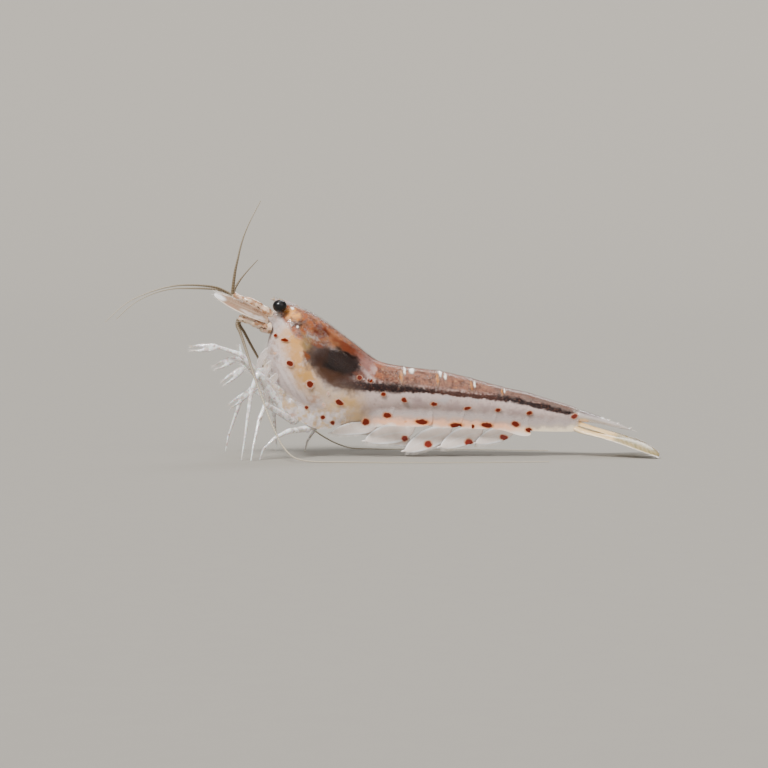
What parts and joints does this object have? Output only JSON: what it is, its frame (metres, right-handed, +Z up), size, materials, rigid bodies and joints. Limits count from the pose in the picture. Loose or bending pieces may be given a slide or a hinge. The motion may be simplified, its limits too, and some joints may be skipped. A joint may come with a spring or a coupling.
{
  "type": "aquarium shrimp",
  "caption": "Life-size still model of a freshwater aquarium shrimp, standing with its feelers raised, its tail fan on the ground and small red-brown spots along its clear flanks.",
  "frame": {"origin": "the bottom centre of the box round the whole animal, at ground level", "axes": "+X towards the tail, so the head faces -X; +Y towards the animal's right side; +Z up"},
  "size_m": [0.0594, 0.0204, 0.0276],
  "materials": {
    "shell": "clear horny shell, satin gloss, milky grey-lilac flanks under a red-brown back, red-brown spots in rows",
    "limb": "clear colourless shell with whitish joints and a few red-brown flecks",
    "fin": "thin clear plates, milky to ivory, with fine ribs",
    "feeler": "fine ringed threads, olive brown fading to pale tips",
    "eye": "black, wet gloss"
  },
  "bodies": {
    "root": {"abdomen_1": "shell", "abdomen_2": "shell", "abdomen_3": "shell", "abdomen_4": "shell", "abdomen_5": "shell", "abdomen_6": "shell", "antenna_flagellum_left": "feeler", "antenna_flagellum_right": "feeler", "antenna_peduncle_left": "limb", "antenna_peduncle_right": "limb", "antenna_scale_left": "fin", "antenna_scale_right": "fin", "antennule_inner_left": "feeler", "antennule_inner_right": "feeler", "antennule_outer_left": "feeler", "antennule_outer_right": "feeler", "antennule_peduncle_left": "limb", "antennule_peduncle_right": "limb", "carapace": "shell", "claw_1_left": "limb", "claw_1_right": "limb", "claw_2_left": "limb", "claw_2_right": "limb", "eye_left": "eye", "eye_right": "eye", "eyestalk_left": "shell", "eyestalk_right": "shell", "maxilliped_left": "limb", "maxilliped_right": "limb", "pereiopod_1_left": "limb", "pereiopod_1_right": "limb", "pereiopod_2_left": "limb", "pereiopod_2_right": "limb", "pereiopod_3_left": "limb", "pereiopod_3_right": "limb", "pereiopod_4_left": "limb", "pereiopod_4_right": "limb", "pereiopod_5_left": "limb", "pereiopod_5_right": "limb", "pleopod_1_left": "fin", "pleopod_1_right": "fin", "pleopod_2_left": "fin", "pleopod_2_right": "fin", "pleopod_3_left": "fin", "pleopod_3_right": "fin", "pleopod_4_left": "fin", "pleopod_4_right": "fin", "pleopod_5_left": "fin", "pleopod_5_right": "fin", "rostrum": "shell", "telson": "shell", "uropod_inner_left": "fin", "uropod_inner_right": "fin", "uropod_outer_left": "fin", "uropod_outer_right": "fin"}
  },
  "joints": []
}
